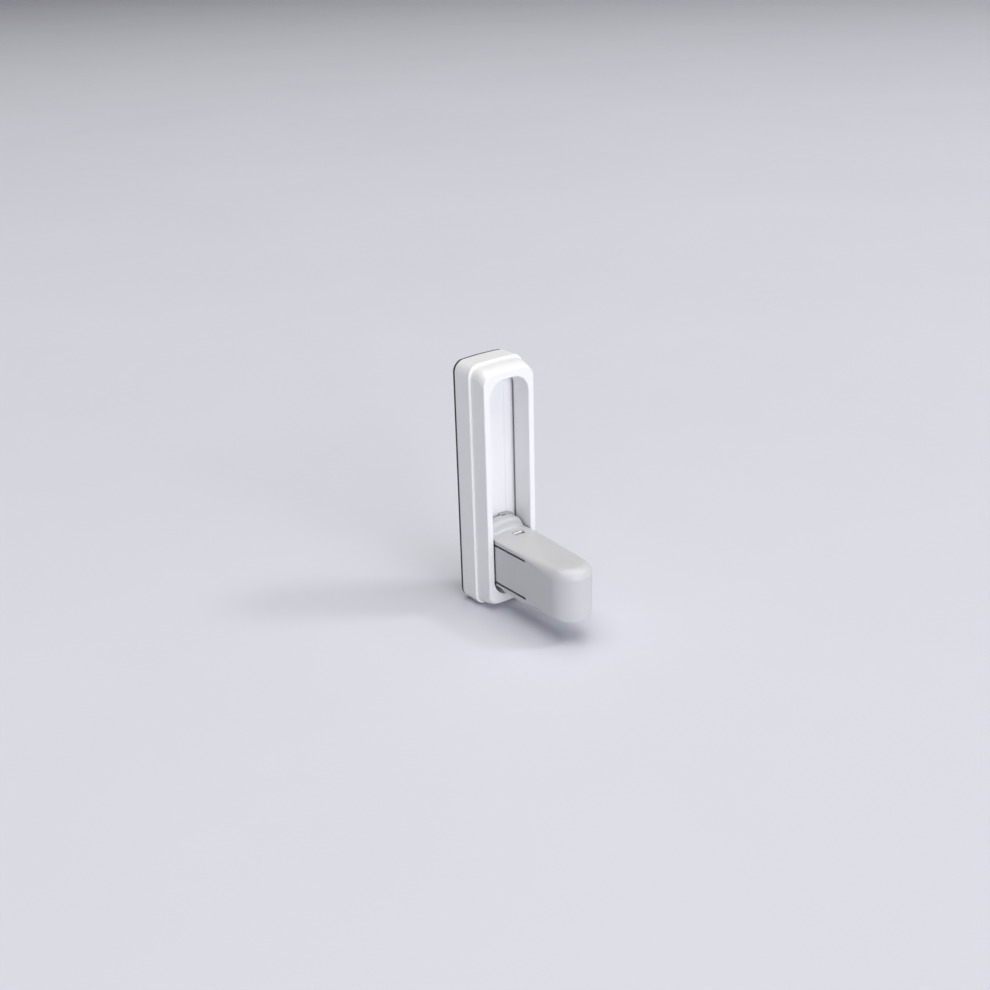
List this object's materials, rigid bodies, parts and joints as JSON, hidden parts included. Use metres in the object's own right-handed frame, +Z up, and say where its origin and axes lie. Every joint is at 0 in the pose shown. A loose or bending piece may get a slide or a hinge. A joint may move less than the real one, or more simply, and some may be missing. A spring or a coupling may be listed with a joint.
{
  "type": "door handle lock",
  "caption": "Stick-on child lock for a lever door handle: a slotted track base with a rounded arm that slides up, clicks into racks and is freed by squeezing its side tabs.",
  "frame": {"origin": "centre of the adhesive face, in the plane of the door's surface", "axes": "+Z up the door along the track, +Y into the door, -Y out towards the room, +X to the right of somebody who faces the door"},
  "size_m": [0.03, 0.0687, 0.116],
  "materials": {
    "base_plastic": "moulded ABS, satin gloss, pale white",
    "track_plastic": "moulded ABS, smooth running face",
    "arm_plastic": "moulded ABS, light grey, fine satin texture",
    "core_plastic": "white polyamide, dull",
    "acetal": "natural acetal, waxy",
    "spring_steel": "drawn spring wire",
    "screw_steel": "zinc plated",
    "foam_tape": "dark grey closed-cell foam with acrylic adhesive"
  },
  "bodies": {
    "base": {"adhesive_pad": "foam_tape", "rear_shell": "base_plastic", "track_plate": "track_plastic", "front_frame": "base_plastic", "rack_left": "acetal", "rack_right": "acetal", "frame_screw_1": "screw_steel", "frame_screw_2": "screw_steel", "frame_screw_3": "screw_steel", "frame_screw_4": "screw_steel"},
    "arm": {"slide_foot": "arm_plastic", "arm_core": "core_plastic", "arm_shell": "arm_plastic", "release_spring": "spring_steel", "foot_screw_1": "screw_steel", "foot_screw_2": "screw_steel"},
    "tab_left": {"press_tab_left": "arm_plastic", "pawl_left": "acetal"},
    "tab_right": {"press_tab_right": "arm_plastic", "pawl_right": "acetal"}
  },
  "joints": [
    {"name": "arm_slide", "type": "slide", "parent": "base", "child": "arm", "axis": [0, 0, 1], "range_m": [0, 0.066]},
    {"name": "press_left", "type": "hinge", "parent": "arm", "child": "tab_left", "pos_m": [-0.0094, -0.0414, -0.03375], "axis": [0, 0, -1], "range_deg": [0, 3], "stiffness_Nm_per_rad": 1.5, "deforming": ["release_spring"]},
    {"name": "press_right", "type": "hinge", "parent": "arm", "child": "tab_right", "pos_m": [0.0094, -0.0414, -0.03375], "axis": [0, 0, 1], "range_deg": [0, 3], "stiffness_Nm_per_rad": 1.5, "deforming": ["release_spring"]}
  ]
}
